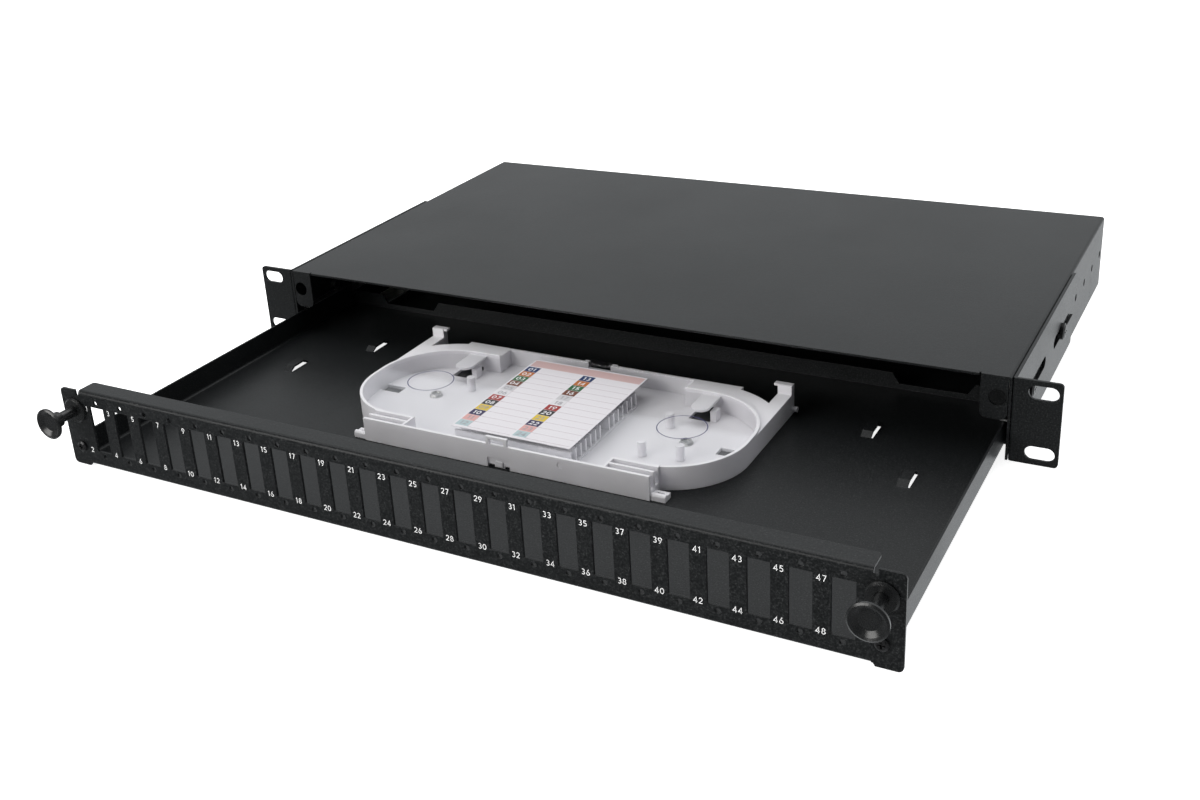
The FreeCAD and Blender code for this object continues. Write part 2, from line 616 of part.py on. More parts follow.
# ================================================================ 2. drawer
tw = D["tray_wide"] / 2
tin = tw - D["tray_thk"]
fl0 = -D["floor_low"]
fl1 = fl0 + D["tray_thk"]
back = D["front_y"] - D["panel_thk"]          # the panel's rear face is at y = -back
b = new_body("drawer_tray")
s = new_sketch(b, "XZ_Plane", "tray_profile", back)
polygon(s, [(-tw, fl0), (tw, fl0), (tw, -D["wall_top"]), (tin, -D["wall_top"]), (tin, fl1),
            (-tin, fl1), (-tin, -D["wall_top"]), (-tw, -D["wall_top"])])
pad(b, s, back + D["tray_rear"], "tray_pad", reverse=True)
fillet(b, 1.6, lambda e: along(e, "y") and abs(e.Vertexes[0].Point.z + 18.5) < 1e-3, "tray_bend_in", 2)
fillet(b, 2.6, lambda e: along(e, "y") and abs(e.Vertexes[0].Point.z + 19.5) < 1e-3, "tray_bend_out", 2)
s = new_sketch(b, "XZ_Plane", "tray_rear_wall", -(D["tray_rear"] - D["tray_thk"]))
polygon(s, [(-tin, fl0 + 0.4), (tin, fl0 + 0.4), (tin, -D["rear_top"]), (190, -D["rear_top"]), (186, -15.5), (150, -15.5),
            (146, -D["rear_top"]), (-146, -D["rear_top"]), (-150, -15.5), (-186, -15.5), (-190, -D["rear_top"]), (-tin, -D["rear_top"])])
pad(b, s, D["tray_thk"], "tray_rear_pad", reverse=True)
for side, sg in (("left", -1), ("right", 1)):
    s = new_sketch(b, "XZ_Plane", "tray_ear_" + side, back)
    rect(s, sg * 206.6, sg * tin, -17.4, -D["wall_top"] - 0.6)
    pad(b, s, D["tray_thk"], "tray_ear_pad_" + side, reverse=True)
s = new_sketch(b, "XZ_Plane", "tray_ear_holes", back)
for sg in (-1, 1):
    circle(s, sg * D["end_screw_x"], -D["end_screw_z"], 1.6)
pocket(b, s, "tray_ear_hole_cut", 3.0)
# Lanced bridges for cable ties: a hole with a raised strap along its left side.
LANCE = ((-181.0, -45.0), (-152.0, -3.0), (154.0, -0.6), (184.4, -42.6))
s = new_sketch(b, "XY_Plane", "lance_holes")
for cx, cy in LANCE:
    rect(s, cx - D["bridge_slit"] / 2 - D["bridge_wide"], cx + D["bridge_slit"] / 2,
         cy - D["bridge_long"] / 2, cy + D["bridge_long"] / 2)
pocket(b, s, "lance_cut", None, reverse=False)
for k, (cx, cy) in enumerate(LANCE):
    s = new_sketch(b, "YZ_Plane", "bridge_%d" % (k + 1), cx - D["bridge_slit"] / 2 - D["bridge_wide"])
    y0 = cy - D["bridge_long"] / 2 - 0.5
    y1 = cy + D["bridge_long"] / 2 + 0.5
    up = fl1 + D["bridge_rise"]
    polygon(s, [(y0, fl0), (y0, fl1), (y0 + 3.6, up), (y1 - 3.6, up), (y1, fl1), (y1, fl0),
                (y1 - 4.4, up - 1.0), (y0 + 4.4, up - 1.0)])
    pad(b, s, D["bridge_wide"] - 0.2, "bridge_pad_%d" % (k + 1))
# Holes for the splice tray's studs.
s = new_sketch(b, "XY_Plane", "stud_holes")
for sg in (-1, 1):
    circle(s, sg * D["stud_x"] - D["cass_x"], -D["stud_y"], D["stud_r"] + 0.05)
pocket(b, s, "stud_hole_cut", None, reverse=False)
node(b)

# Front panel: one bent sheet with an upper and a lower lip between its two
# flat end tabs, pierced by the adapter windows and their screw holes.
b = new_body("front_panel")
pl, no, lh, lw, pt = D["panel_half"], D["notch_out"], D["lip_half"], D["panel_low"], D["panel_top"]
s = new_sketch(b, "XZ_Plane", "panel_outline", D["front_y"])
rect(s, -lh, lh, -lw, pt)
pad(b, s, D["panel_thk"], "panel_pad", reverse=True)
s = new_sketch(b, "YZ_Plane", "upper_lip", -lh)
rect(s, -D["front_y"], -D["front_y"] + D["lip_top"], pt - D["panel_thk"], pt)
pad(b, s, 2 * lh, "upper_lip_pad")
s = new_sketch(b, "YZ_Plane", "lower_lip", -lh)
rect(s, -D["front_y"], -D["front_y"] + D["lip_low"], -lw, -lw + D["panel_thk"])
pad(b, s, 2 * lh, "lower_lip_pad")
fillet(b, 2.1, lambda e: along(e, "x") and at(e, y=-183.5, z=21.8) and e.Length > 300, "upper_bend_out", 1)
fillet(b, 0.8, lambda e: along(e, "x") and at(e, y=-182.3, z=20.6) and e.Length > 300, "upper_bend_in", 1)
fillet(b, 1.9, lambda e: along(e, "x") and at(e, y=-183.5, z=-20.7) and e.Length > 300, "lower_bend_out", 1)
fillet(b, 1.5, lambda e: along(e, "z") and abs(e.Vertexes[0].Point.y + 172.3) < 1e-3, "lip_round", 2)
s = new_sketch(b, "XZ_Plane", "end_tabs", D["front_y"])
for sg in (-1, 1):
    polygon(s, [(sg * lh, -20.2), (sg * (lh + 0.8), -20.2), (sg * (no - 0.4), -D["tab_foot"]), (sg * pl, -D["tab_foot"]),
                (sg * pl, pt), (sg * no, pt), (sg * no, D["notch_low"]), (sg * lh, D["notch_low"])])
pad(b, s, D["panel_thk"], "end_tab_pad", reverse=True)
fillet(b, 2.4, lambda e: along(e, "y") and abs(abs(e.Vertexes[0].Point.x) - 220.5) < 1e-3, "end_round", 4)
ends = new_sketch(b, "XZ_Plane", "end_holes", D["front_y"] + 1)
for sg in (-1, 1):
    circle(ends, sg * D["latch_x"], D["latch_z"], D["barrel_r"] + 0.1)
    circle(ends, sg * D["end_screw_x"], -D["end_screw_z"], 1.6)
pocket(b, ends, "end_hole_cut", 3.0)
s = new_sketch(b, "XZ_Plane", "window", D["front_y"] + 1)
xw = -D["win_pitch"] * (D["win_count"] - 1) / 2
rect(s, xw - D["win_wide"] / 2, xw + D["win_wide"] / 2, D["win_z"] - D["win_high"] / 2, D["win_z"] + D["win_high"] / 2)
circle(s, xw, D["win_z"] + D["win_screw"] / 2, D["win_hole"])
circle(s, xw, D["win_z"] - D["win_screw"] / 2, D["win_hole"])
f = pocket(b, s, "window_cut", 3.0)
line_pattern(b, f, "X_Axis", D["win_pitch"] * (D["win_count"] - 1), D["win_count"], "window_row")
node(b)

# End screws of the panel and their clinch nuts.
screws, nuts = [], []
for side, sg in (("left", -1), ("right", 1)):
    x, z, y = sg * D["end_screw_x"], -D["end_screw_z"], -D["front_y"]
    head = prim_cyl("end_head_" + side, "Y", x, y - 1.1, z, 2.9, 1.1)
    crown = prim_cone("end_crown_" + side, "Y", x, y - 1.7, z, 2.0, 2.9, 0.6)
    shank = prim_cyl("end_shank_" + side, "Y", x, y - 0.2, z, 1.5, 5.0)
    r1 = prim_box("end_cross_a_" + side, x - 1.6, x + 1.6, y - 3.0, y - 0.6, z - 0.35, z + 0.35)
    r2 = prim_box("end_cross_b_" + side, x - 0.35, x + 0.35, y - 3.0, y - 0.6, z - 1.6, z + 1.6)
    screws.append(cut("end_screw_" + side, fuse("end_screw_solid_" + side, [head, crown, shank]),
                      fuse("end_cross_" + side, [r1, r2])))
    yb = -back + D["tray_thk"]
    nb = prim_cyl("end_nut_body_" + side, "Y", x - sg * 1.6, yb, z, 2.9, 2.0)
    nb2 = prim_cyl("end_nut_mid_" + side, "Y", x, yb, z, 1.6, 2.0)
    nh = prim_cyl("end_nut_bore_" + side, "Y", x, yb - 1.0, z, 1.52, 4.0)
    nuts.append(cut("end_nut_" + side, fuse("end_nut_solid_" + side, [nb, nb2]), nh))
node(group("panel_screws", screws))
node(group("panel_nuts", nuts))

# Latches: a nylon grommet clipped in each end tab, and a push-pull plunger.
for side, sg in (("left", -1), ("right", 1)):
    x, z, y = sg * D["latch_x"], D["latch_z"], -D["front_y"]
    b = new_body("latch_grommet_" + side)
    s = new_sketch(b, "YZ_Plane", "grommet_half_" + side, x)
    # half section: radius is measured from the latch axis along the height
    rb = D["stem_r"] + D["stem_gap"]
    polygon(s, [(y - 2.0, z + rb), (y + 5.6, z + rb), (y + 5.6, z + D["barrel_r"] - 0.5), (y + 5.0, z + D["barrel_r"]),
                (y, z + D["barrel_r"]), (y, z + D["flange_r"]), (y - 1.2, z + D["flange_r"]), (y - 2.0, z + D["flange_r"] - 0.8)])
    g = s.addGeometry(Part.LineSegment(V(num(y) - 8, num(z), 0), V(num(y) + 8, num(z), 0)), True)
    fix(s, "DistanceX", g, 1, y - 8)
    fix(s, "DistanceX", g, 2, y + 8)
    fix(s, "DistanceY", g, 1, z)
    fix(s, "DistanceY", g, 2, z)
    r = b.newObject("PartDesign::Revolution", "grommet_turn_" + side)
    r.Profile = s
    r.ReferenceAxis = (s, ["Axis0"])
    r.Angle = 360.0
    doc.recompute()
    node(b)

    b = new_body("latch_plunger_" + side)
    s = new_sketch(b, "YZ_Plane", "plunger_half_" + side, x)
    # knob: dished face with a raised rim, shallow back cone, collar and stem
    polygon(s, [(y - 17.2, z), (y - 17.2, z + 4.2), (y - 18.6, z + 6.4), (y - 19.0, z + 7.4), (y - 18.4, z + D["knob_r"]),
                (y - 17.2, z + D["knob_r"] - 0.1), (y - 14.6, z + 4.4), (y - 11.4, z + 4.0), (y - 11.0, z + D["stem_r"]),
                (y + 4.6, z + D["stem_r"]), (y + 5.6, z + 1.8), (y + 5.6, z)])
    g = s.addGeometry(Part.LineSegment(V(num(y) - 24, num(z), 0), V(num(y) + 12, num(z), 0)), True)
    fix(s, "DistanceX", g, 1, y - 24)
    fix(s, "DistanceX", g, 2, y + 12)
    fix(s, "DistanceY", g, 1, z)
    fix(s, "DistanceY", g, 2, z)
    r = b.newObject("PartDesign::Revolution", "plunger_turn_" + side)
    r.Profile = s
    r.ReferenceAxis = (s, ["Axis0"])
    r.Angle = 360.0
    doc.recompute()
    node(b)

# ========================================================== 3. splice tray
# Moulded tray: outline with straight middle and round ends, a floor, a rim
# round each end well, ledges, a double front bar with a latch loop, and two
# rear arms with upturned hooks.
cx0 = -num(D["cass_x"])
N = {k: q.v for k, q in D.items()}


def outline(xh, yf, yr, rf, rr):
    """Closed wire of a rounded rectangle about the tray's middle, front radius rf, rear radius rr."""
    p = []
    c = V(cx0 + xh - rf, yf + rf, 0)
    d = V(cx0 + xh - rr, yr - rr, 0)
    e = V(cx0 - xh + rr, yr - rr, 0)
    g = V(cx0 - xh + rf, yf + rf, 0)
    q = math.sqrt(0.5)
    p.append(Part.LineSegment(V(g.x, yf, 0), V(c.x, yf, 0)).toShape())
    p.append(Part.Arc(V(c.x, yf, 0), V(c.x + rf * q, c.y - rf * q, 0), V(cx0 + xh, c.y, 0)).toShape())
    if d.y - c.y > 1e-6:
        p.append(Part.LineSegment(V(cx0 + xh, c.y, 0), V(cx0 + xh, d.y, 0)).toShape())
    p.append(Part.Arc(V(cx0 + xh, d.y, 0), V(d.x + rr * q, d.y + rr * q, 0), V(d.x, yr, 0)).toShape())
    p.append(Part.LineSegment(V(d.x, yr, 0), V(e.x, yr, 0)).toShape())
    p.append(Part.Arc(V(e.x, yr, 0), V(e.x - rr * q, e.y + rr * q, 0), V(cx0 - xh, e.y, 0)).toShape())
    if e.y - g.y > 1e-6:
        p.append(Part.LineSegment(V(cx0 - xh, e.y, 0), V(cx0 - xh, g.y, 0)).toShape())
    p.append(Part.Arc(V(cx0 - xh, g.y, 0), V(g.x - rf * q, g.y - rf * q, 0), V(g.x, yf, 0)).toShape())
    return Part.Wire(p)


def slab(wire, z0, z1):
    w = wire.copy()
    w.translate(V(0, 0, z0))
    return Part.Face(w).extrude(V(0, 0, z1 - z0))


def blk(x0, x1, y0, y1, z0, z1):
    """Block given from the tray's middle."""
    return Part.makeBox(x1 - x0, y1 - y0, z1 - z0, V(cx0 + x0, y0, z0))


zl, zfl, zt, zg = -N["cass_low"], -N["cass_low"] + N["cass_floor"], -N["cass_top"], -N["cass_ledge"]
xh, yf, yr, w = N["cass_half"], -N["cass_front"], N["cass_rear"], N["cass_wall"]
bf, bh, mh = -N["bar_front"], N["bar_half"], N["mid_half"]
RF = 40.0
rim_rear = -10.6
body = slab(outline(xh, yf, rim_rear, RF, RF), zl, zt)
body = body.fuse(blk(-85.0, 85.0, -50.0, yr, zl, zg))
for sg in (-1, 1):
    a, c = sorted((sg * (xh - RF), sg * xh))
    body = body.fuse(Part.makeCylinder(RF + 10.6, zg - zl, V(cx0 + sg * (xh - RF), rim_rear - RF, zl)).common(
        blk(a, c, -50.0, yr, zl, zg)))
body = body.fuse(blk(-bh, bh, bf, yf + 30, zl, -5.9 + 0.2))
for sg in (-1, 1):
    a, c = sorted((sg * xh, sg * (xh - 7.6)))
    body = body.fuse(blk(a, c, -45, 5.0, zl, zg))
    # hook post with its lip
    body = body.fuse(blk(a, c, 1.0, 5.0, zl, -2.2))
    a, c = sorted((sg * xh, sg * (xh - 9.8)))
    body = body.fuse(blk(a, c, 1.6, 5.0, -3.2, -2.0))
    # pivot stub at the rear corner and slotted hinge lug at the end of the front bar
    body = body.fuse(Part.makeCylinder(1.5, 3.4, V(cx0 + sg * (xh - 0.6), 2.4, -15.4), V(sg, 0, 0)))
    a, c = sorted((sg * (bh - 0.6), sg * (bh + 7.6)))
    lug = blk(a, c, -107.6, -101.4, zl, -15.9)
    lug = lug.fuse(Part.makeCylinder(1.5, c - a, V(cx0 + a, -106.1, -16.4), V(1, 0, 0)))
    a, c = sorted((sg * (bh + 1.8), sg * (bh + 5.6)))
    body = body.fuse(lug.cut(blk(a, c, -105.0, -103.2, zl - 1, -12.0)))
# end wells and middle bay
well = slab(outline(xh - w, yf + w, rim_rear - w, RF - w, RF - w), zfl, 0.0)
well = well.fuse(blk(-mh, mh, bf + w, yr - w, zfl, 0.0))
body = body.cut(well)
# channels between the front bar's outer and inner webs
for sg in (-1, 1):
    a, c = sorted((sg * (mh + 1.4), sg * (bh + 2)))
    body = body.cut(blk(a, c, bf + w, -103.4, zfl + 3.0, 0.0))
    body = body.cut(blk(a, c, -102.0, -98.4, zfl + 3.0, 0.0))
# hollow ledges: pockets open underneath, behind the rim
for sg in (-1, 1):
    a, c = sorted((sg * (mh + 2.0), sg * 82.0))
    body = body.cut(blk(a, c, rim_rear + 1.6, yr - w, zl - 1, zg - 1.4))
    a, c = sorted((sg * (xh - 6.2), sg * (xh - 1.4)))
    body = body.cut(blk(a, c, -18.0, 0.6, zl - 1, zg - 1.4))
# moulding gate mark on the front bar
body = body.cut(Part.makeCylinder(1.7, 1.0, V(cx0 + 34.9, bf - 0.7, -9.5), V(0, 1, 0)))
# latch loop and the matching pocket of the front bar
body = body.fuse(blk(-7.0, 5.2, bf, bf + 1.6, -6.5, -1.6).cut(blk(-5.0, 3.4, bf - 1, bf + 4, -6.0, -3.0)))
body = body.cut(blk(-6.8, 6.0, bf - 1, bf + 0.9, -18.6, -13.2))
body = body.cut(blk(-6.8, -3.2, bf - 1, bf + 4, -19.0, -17.2))
body = body.cut(blk(2.6, 6.0, bf - 1, bf + 4, -19.0, -17.2))
body = body.fuse(blk(-2.4, 1.8, bf - 0.0, bf + 1.4, -17.6, -15.0))
# rear slot for the lid's tongue, with a socket boss at each side for its pivot pins
for sg in (-1, 1):
    a, c = sorted((sg * 7.0, sg * 10.0))
    body = body.fuse(blk(a, c, yr - w, 3.1, zl, zg))
body = body.cut(blk(-7.0, 7.0, yr - w - 1, yr + 2, -10.6, 0.0))
body = body.cut(Part.makeCylinder(N["pivot_r"] + N["pivot_gap"], 17.2, V(cx0 - 8.6, N["pivot_y"], -N["pivot_z"]), V(1, 0, 0)))
# fibre openings in the floor, retaining tabs above the rear pair, studs
for x0, x1 in ((-82.0, -69.0), (65.0, 77.0)):
    body = body.cut(blk(x0, x1, -25.2, -9.0, zl - 1, zfl + 1.9))
for x0, x1 in ((-76.6, -66.0), (68.0, 78.0)):
    tab = blk(x0, x1, -27.0, rim_rear - 1.0, -8.7, -7.5)
    tab = tab.fuse(Part.makeCylinder((x1 - x0) / 2, 1.2, V(cx0 + (x0 + x1) / 2, -27.0, -8.7)))
    body = body.fuse(tab)
for x0, x1 in ((-110.0, -97.5), (93.5, 107.5)):
    body = body.cut(blk(x0, x1, -56.6, -49.2, zl - 1, zfl + 1))
for sg in (-1, 1):
    body = body.cut(Part.makeCylinder(2.2, 10, V(cx0 + sg * N["stud_x"], -N["stud_y"], zl - 2)))
for px, py, pr in ((60.6, -71.5, 2.3), (80.0, -68.5, 2.3), (60.6, -38.2, 2.3), (-60.6, -38.2, 2.3)):
    body = body.fuse(Part.makeCylinder(pr, 8.6, V(cx0 + px, py, zfl - 0.5)))
for px in (-67.4, 78.6):
    body = body.fuse(blk(px - 1.6, px + 1.6, -24.4, -18.6, zfl - 0.5, -11.0))
body = body.removeSplitter()
o = doc.addObject("Part::Feature", "splice_tray")
o.Shape = body
o.Placement = App.Placement(V(0, 0, 0), App.Rotation())
node(o)

# Splice comb: a pad with two groups of ribs that hold the splice sleeves.
b = new_body("splice_comb")
s = new_sketch(b, "XY_Plane", "comb_pad", -D["cass_low"] + D["cass_floor"])
rect(s, -D["cass_x"] - 34.0, -D["cass_x"] + 34.4, -97.0, -22.0)
pad(b, s, 1.2, "comb_base_pad")
s = new_sketch(b, "XY_Plane", "comb_rib_front", -D["cass_low"] + D["cass_floor"] + 1.2)
rect(s, -D["cass_x"] - 33.4, -D["cass_x"] + 34.0, -96.4, -96.4 + D["comb_rib"])
f = pad(b, s, 7.0, "comb_rib_front_pad")
line_pattern(b, f, "Y_Axis", D["comb_pitch"] * 6, 7, "comb_front_row")
s = new_sketch(b, "XY_Plane", "comb_rib_rear", -D["cass_low"] + D["cass_floor"] + 1.2)
rect(s, -D["cass_x"] - 33.4, -D["cass_x"] + 34.0, -55.4, -55.4 + D["comb_rib"])
f = pad(b, s, 7.0, "comb_rib_rear_pad")
line_pattern(b, f, "Y_Axis", D["comb_pitch"] * 6, 7, "comb_rear_row")
node(b)

# Studs pressed into the drawer floor, and the flanged nuts on them.
studs, nuts = [], []
for side, sg in (("left", -1), ("right", 1)):
    x, y = sg * D["stud_x"] - D["cass_x"], -D["stud_y"]
    studs.append(prim_cyl("stud_pin_" + side, "Z", x, y, fl0, D["stud_r"], 3.7))
    fg = prim_cyl("stud_nut_flange_" + side, "Z", x, y, zfl, 3.6, 0.5)
    hx = prism("stud_nut_hex_" + side, "Z", x, y, zfl + 0.5, 5.6, 1.2)
    bo = prim_cyl("stud_nut_bore_" + side, "Z", x, y, zfl - 1, D["stud_r"] + 0.05, 6.0)
    nuts.append(cut("stud_nut_" + side, fuse("stud_nut_solid_" + side, [fg, hx]), bo))
node(group("tray_studs", studs))
node(group("tray_nuts", nuts))

# Clear lid, hinged at the rear by a tongue in the tray's rear slot.
zlt = zt - 0.1
zlb = zlt - N["lid_thk"]
lid = slab(outline(xh - w - 0.5, yf + w + 0.5, rim_rear - w - 0.5, RF - w - 0.5, RF - w - 0.5), zlb, zlt)
lid = lid.fuse(blk(-mh + 0.5, mh - 0.5, bf + w + 0.5, yr - w - 0.4, zlb, zlt))
lid = lid.fuse(blk(-6.4, 6.4, yr - w - 1.4, N["pivot_y"] + 1.0, zlb, zlt))
lid = lid.fuse(blk(-6.4, 6.4, N["pivot_y"] - 1.0, N["pivot_y"] + 1.0, -N["pivot_z"], zlt - 0.2))
lid = lid.fuse(Part.makeCylinder(1.0, 12.8, V(cx0 - 6.4, N["pivot_y"], -N["pivot_z"]), V(1, 0, 0)))
lid = lid.fuse(Part.makeCylinder(N["pivot_r"], 16.4, V(cx0 - 8.2, N["pivot_y"], -N["pivot_z"]), V(1, 0, 0)))
lid = lid.fuse(blk(-4.2, 2.6, bf + w + 0.5, bf + w + 1.5, zlb, -3.4))
for sg in (-1, 1):
    ring = Part.makeCylinder(12.9, 0.25, V(cx0 + sg * 75.4, -55.4, zlt - 0.05)).cut(
        Part.makeCylinder(12.4, 1.0, V(cx0 + sg * 75.4, -55.4, zlt - 0.3)))
    lid = lid.fuse(ring)
lid = lid.removeSplitter()
o = doc.addObject("Part::Feature", "splice_tray_lid")
o.Shape = lid
o.Placement = App.Placement(V(0, 0, 0), App.Rotation())
node(o)

# Index card on the lid.
b = new_body("index_card")
s = new_sketch(b, "XY_Plane", "card_outline", zlt)
rect(s, -D["cass_x"] - D["label_wide"] / 2, -D["cass_x"] + D["label_wide"] / 2, -97.6, -97.6 + D["label_long"])
pad(b, s, 0.25, "card_pad")
node(b)

# ------------------------------------------------------------ check, export
doc.recompute()
for ob in doc.Objects:
    bad = [t for t in ob.State if t in ("Invalid", "Error")]
    if bad:
        raise RuntimeError("%s is %s" % (ob.Name, bad))
total = 0.0
for ob in NODES:
    sh = ob.Shape
    if sh.isNull() or not sh.isValid() or not sh.Solids:
        raise RuntimeError("%s has a bad shape" % ob.Label)
    total += sh.Volume
    bb = sh.BoundBox
    print("%-22s solids %2d  vol %9.1f  x %7.2f %7.2f  y %7.2f %7.2f  z %6.2f %6.2f" % (
        ob.Label, len(sh.Solids), sh.Volume, bb.XMin, bb.XMax, bb.YMin, bb.YMax, bb.ZMin, bb.ZMax))
for ob in NODES:
    ob.Shape.exportStep("parts/%s.step" % ob.Label)
print("nodes", len(NODES), "volume", round(total, 1))
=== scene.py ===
import json
import math

import bmesh
import bpy
from mathutils import Matrix, Vector


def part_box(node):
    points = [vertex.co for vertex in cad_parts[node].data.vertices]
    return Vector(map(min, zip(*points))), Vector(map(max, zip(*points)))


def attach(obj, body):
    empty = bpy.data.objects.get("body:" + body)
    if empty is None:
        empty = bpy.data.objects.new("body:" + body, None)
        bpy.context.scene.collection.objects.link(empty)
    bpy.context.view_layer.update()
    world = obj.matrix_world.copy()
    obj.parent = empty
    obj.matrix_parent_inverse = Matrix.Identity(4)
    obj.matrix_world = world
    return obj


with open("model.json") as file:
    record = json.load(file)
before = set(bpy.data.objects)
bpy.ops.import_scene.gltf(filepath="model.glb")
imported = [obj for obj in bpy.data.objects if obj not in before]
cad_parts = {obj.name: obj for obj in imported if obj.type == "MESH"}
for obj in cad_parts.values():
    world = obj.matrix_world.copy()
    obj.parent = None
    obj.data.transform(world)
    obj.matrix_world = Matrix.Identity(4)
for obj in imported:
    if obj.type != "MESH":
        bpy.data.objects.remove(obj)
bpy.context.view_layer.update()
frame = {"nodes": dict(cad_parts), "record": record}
nodes = frame["nodes"]
scene = bpy.context.scene


# ------------------------------------------------------------------ shading
class Nodes:
    """A small helper that keeps a material's node tree readable."""

    def __init__(self, name):
        self.mat = bpy.data.materials.new(name)
        self.mat.use_nodes = True
        self.tree = self.mat.node_tree
        self.shader = next(n for n in self.tree.nodes if n.type == "BSDF_PRINCIPLED")
        self.out = next(n for n in self.tree.nodes if n.type == "OUTPUT_MATERIAL")
        tc = self.new("ShaderNodeTexCoord")
        self.coord = tc.outputs["Object"]

    def new(self, kind, **props):
        n = self.tree.nodes.new(kind)
        for k, v in props.items():
            setattr(n, k, v)
        return n

    def link(self, a, b):
        self.tree.links.new(a, b)

    def noise(self, scale, detail=2.0, rough=0.5, stretch=None):
        n = self.new("ShaderNodeTexNoise")
        n.inputs["Scale"].default_value = scale
        n.inputs["Detail"].default_value = detail
        n.inputs["Roughness"].default_value = rough
        if stretch:
            m = self.new("ShaderNodeMapping")
            m.inputs["Scale"].default_value = stretch
            self.link(self.coord, m.inputs["Vector"])
            self.link(m.outputs["Vector"], n.inputs["Vector"])
        else:
            self.link(self.coord, n.inputs["Vector"])
        return n.outputs["Fac"]

    def ramp(self, fac, stops):
        r = self.new("ShaderNodeValToRGB")
        e = r.color_ramp.elements
        while len(e) < len(stops):
            e.new(0.5)
        for el, (p, c) in zip(e, stops):
            el.position = p
            el.color = (*c, 1.0) if len(c) == 3 else c
        self.link(fac, r.inputs["Fac"])
        return r.outputs["Color"]

    def range(self, fac, lo, hi, a=0.0, b=1.0):
        m = self.new("ShaderNodeMapRange")
        m.inputs["From Min"].default_value = a
        m.inputs["From Max"].default_value = b
        m.inputs["To Min"].default_value = lo
        m.inputs["To Max"].default_value = hi
        self.link(fac, m.inputs["Value"])
        return m.outputs["Result"]

    def bump(self, height, strength, distance, normal=None):
        b = self.new("ShaderNodeBump")
        b.inputs["Strength"].default_value = strength
        b.inputs["Distance"].default_value = distance
        self.link(height, b.inputs["Height"])
        if normal is not None:
            self.link(normal, b.inputs["Normal"])
        return b.outputs["Normal"]

    def bevel(self, radius, samples=4):
        b = self.new("ShaderNodeBevel", samples=samples)
        b.inputs["Radius"].default_value = radius
        return b.outputs["Normal"]

    def set(self, **sockets):
        for k, v in sockets.items():
            self.shader.inputs[k.replace("_", " ")].default_value = v


def powder_coat():
    """Black fine-texture powder coat on folded sheet steel."""
    m = Nodes("black_powder_coat")
    grain = m.noise(1250.0, 4.0, 0.7)
    cloud = m.noise(14.0, 3.0, 0.55)
    peel = m.noise(480.0, 2.0, 0.5)
    colour = m.ramp(grain, [(0.34, (0.0040, 0.0046, 0.0050)), (0.48, (0.0082, 0.0092, 0.0098)),
                            (0.58, (0.0150, 0.0162, 0.0170)), (0.72, (0.0450, 0.0470, 0.0480))])
    m.link(colour, m.shader.inputs["Base Color"])
    r1 = m.range(grain, 0.28, 0.42, 0.3, 0.7)
    add = m.new("ShaderNodeMath", operation="ADD")
    m.link(r1, add.inputs[0])
    m.link(m.range(cloud, -0.02, 0.02, 0.3, 0.7), add.inputs[1])
    m.link(add.outputs[0], m.shader.inputs["Roughness"])
    n1 = m.bump(peel, 0.30, 0.00010, m.bevel(0.00040))
    m.link(m.bump(grain, 0.45, 0.00012, n1), m.shader.inputs["Normal"])
    m.shader.inputs["Specular IOR Level"].default_value = 0.20
    return m.mat


def screw_black(name="black_screw_steel", base=(0.012, 0.012, 0.013), rough=0.32):
    m = Nodes(name)
    n = m.noise(900.0, 3.0)
    c = m.ramp(n, [(0.3, tuple(v * 0.7 for v in base)), (0.7, tuple(v * 1.5 for v in base))])
    m.link(c, m.shader.inputs["Base Color"])
    m.link(m.range(n, rough - 0.06, rough + 0.08, 0.3, 0.7), m.shader.inputs["Roughness"])
    m.link(m.bump(n, 0.15, 0.00005, m.bevel(0.0002)), m.shader.inputs["Normal"])
    m.set(Metallic=0.35)
    return m.mat


def zinc():
    m = Nodes("zinc_plated_steel")
    brushed = m.noise(700.0, 3.0, 0.6, (1.0, 0.08, 1.0))
    cloud = m.noise(120.0, 2.0)
    c = m.ramp(cloud, [(0.3, (0.42, 0.43, 0.43)), (0.7, (0.58, 0.58, 0.57))])
    m.link(c, m.shader.inputs["Base Color"])
    m.link(m.range(brushed, 0.26, 0.46, 0.3, 0.7), m.shader.inputs["Roughness"])
    m.link(m.bump(brushed, 0.2, 0.00004), m.shader.inputs["Normal"])
    m.set(Metallic=1.0)
    return m.mat


def nylon(name, base, rough, spec=0.5, grain=0.12):
    m = Nodes(name)
    cloud = m.noise(160.0, 3.0, 0.5)
    fine = m.noise(1100.0, 2.0, 0.5)
    c = m.ramp(cloud, [(0.3, tuple(v * 0.82 for v in base)), (0.7, tuple(min(v * 1.12, 1.0) for v in base))])
    m.link(c, m.shader.inputs["Base Color"])
    m.link(m.range(fine, rough - 0.05, rough + 0.07, 0.3, 0.7), m.shader.inputs["Roughness"])
    m.link(m.bump(fine, grain, 0.00006, m.bevel(0.00025)), m.shader.inputs["Normal"])
    m.shader.inputs["Specular IOR Level"].default_value = spec
    return m.mat


def white_abs():
    """White injection-moulded tray, a little cool, with a soft sheen and faint flow marks."""
    m = Nodes("white_moulding")
    flow = m.noise(22.0, 3.0, 0.5, (1.0, 0.35, 1.0))
    fine = m.noise(1300.0, 2.0, 0.5)
    c = m.ramp(flow, [(0.30, (0.755, 0.745, 0.775)), (0.70, (0.815, 0.805, 0.830))])
    m.link(c, m.shader.inputs["Base Color"])
    m.link(m.range(fine, 0.30, 0.42, 0.3, 0.7), m.shader.inputs["Roughness"])
    m.link(m.bump(fine, 0.08, 0.00005, m.bevel(0.0003)), m.shader.inputs["Normal"])
    m.set(Subsurface_Weight=0.25, Subsurface_Scale=0.003, Subsurface_Radius=(1.0, 0.97, 1.0))
    return m.mat


